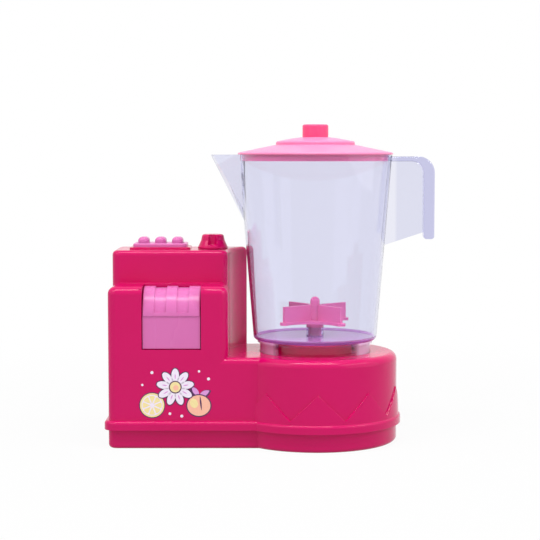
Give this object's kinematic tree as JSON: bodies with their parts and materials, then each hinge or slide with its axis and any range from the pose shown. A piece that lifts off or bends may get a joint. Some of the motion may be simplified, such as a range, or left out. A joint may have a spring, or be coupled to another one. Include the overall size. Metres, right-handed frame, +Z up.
{
  "type": "toy blender",
  "caption": "Free-standing toy blender: stepped pink housing with a round drum, clear lift-off jar with spout and handle, lid, turning impeller, rocker, dial and push buttons.",
  "frame": {"origin": "on the surface the toy stands on, under the jar's axis", "axes": "+Z up, +X from the jar's axis towards its handle (the tower lies along -X), +Y from the front to the back"},
  "size_m": [0.2198, 0.1162, 0.213],
  "materials": {
    "hot_pink": "glossy injection moulding",
    "light_pink": "satin-gloss injection moulding",
    "lid_pink": "soft gloss injection moulding",
    "coral_pink": "satin injection moulding",
    "rose_pink": "satin injection moulding",
    "clear_violet": "clear polystyrene with a faint violet tint",
    "steel": "bright zinc plate",
    "bright_metal": "drawn metal can",
    "cell_sleeve": "plain printed sleeve",
    "gear_white": "natural acetal",
    "board_green": "plain phenolic board",
    "switch_black": "black moulded"
  },
  "bodies": {
    "housing": {"upper_housing": "hot_pink", "base_tray": "hot_pink", "battery_door": "hot_pink", "battery_door_screw": "steel", "housing_screws": "steel", "battery_cell_1": "cell_sleeve", "battery_cell_2": "cell_sleeve", "battery_springs": "steel", "battery_contacts": "steel", "gear_bracket": "gear_white", "bracket_screws": "steel", "motor": "bright_metal", "rocker_axle": "steel", "rocker_spring": "steel", "switch_body": "switch_black", "button_panel": "light_pink", "button_board": "board_green", "board_screws": "steel", "button_spring_1": "steel", "button_spring_2": "steel", "button_spring_3": "steel"},
    "drive": {"drive_gear": "gear_white", "drive_coupler": "rose_pink"},
    "rotor": {"motor_shaft": "steel", "motor_pinion": "gear_white"},
    "jar": {"jar": "clear_violet", "jar_foot": "clear_violet"},
    "impeller": {"impeller": "rose_pink", "impeller_shaft": "rose_pink"},
    "lid": {"lid": "lid_pink", "lid_knob": "coral_pink"},
    "rocker": {"rocker": "light_pink"},
    "plunger": {"switch_plunger": "gear_white"},
    "button_1": {"button_1": "light_pink"},
    "button_2": {"button_2": "light_pink"},
    "button_3": {"button_3": "light_pink"},
    "dial": {"dial_knob": "hot_pink", "dial_clip": "gear_white"}
  },
  "joints": [
    {"name": "jar_lift", "type": "slide", "parent": "housing", "child": "jar", "axis": [0, 0, 1], "range_m": [0, 0.06]},
    {"name": "lid_lift", "type": "slide", "parent": "jar", "child": "lid", "axis": [0, 0, 1], "range_m": [0, 0.04]},
    {"name": "drive_spin", "type": "hinge", "parent": "housing", "child": "drive", "pos_m": [0, 0, 0.045], "axis": [0, 0, 1], "continuous": true},
    {"name": "rotor_spin", "type": "hinge", "parent": "housing", "child": "rotor", "pos_m": [0.024, 0, 0.04], "axis": [0, 0, 1], "continuous": true},
    {"name": "impeller_spin", "type": "hinge", "parent": "jar", "child": "impeller", "pos_m": [0, 0, 0.07], "axis": [0, 0, 1], "continuous": true},
    {"name": "rocker_press", "type": "hinge", "parent": "housing", "child": "rocker", "pos_m": [-0.0951, -0.0207, 0.0875], "axis": [1, 0, 0], "range_deg": [0, 8], "stiffness_Nm_per_rad": 0.05, "springref_deg": -5.73, "deforming": ["rocker_spring"]},
    {"name": "plunger_slide", "type": "slide", "parent": "housing", "child": "plunger", "axis": [0, 1, 0], "range_m": [0, 0.0021]},
    {"name": "button_1_press", "type": "slide", "parent": "housing", "child": "button_1", "axis": [0, 0, -1], "range_m": [0, 0.0015], "stiffness_N_per_m": 100, "springref_m": -0.001, "deforming": ["button_spring_1"]},
    {"name": "button_2_press", "type": "slide", "parent": "housing", "child": "button_2", "axis": [0, 0, -1], "range_m": [0, 0.0015], "stiffness_N_per_m": 100, "springref_m": -0.001, "deforming": ["button_spring_2"]},
    {"name": "button_3_press", "type": "slide", "parent": "housing", "child": "button_3", "axis": [0, 0, -1], "range_m": [0, 0.0015], "stiffness_N_per_m": 100, "springref_m": -0.001, "deforming": ["button_spring_3"]},
    {"name": "dial_turn", "type": "hinge", "parent": "housing", "child": "dial", "pos_m": [-0.0698, 0.016, 0.128], "axis": [0, 0, 1], "range_deg": [-135, 135]}
  ],
  "couplings": [
    {"joint": "rotor_spin", "follows": "drive_spin", "ratio": -3},
    {"joint": "impeller_spin", "follows": "drive_spin", "ratio": 1},
    {"joint": "plunger_slide", "follows": "rocker_press", "m_per_rad": 0.015}
  ]
}
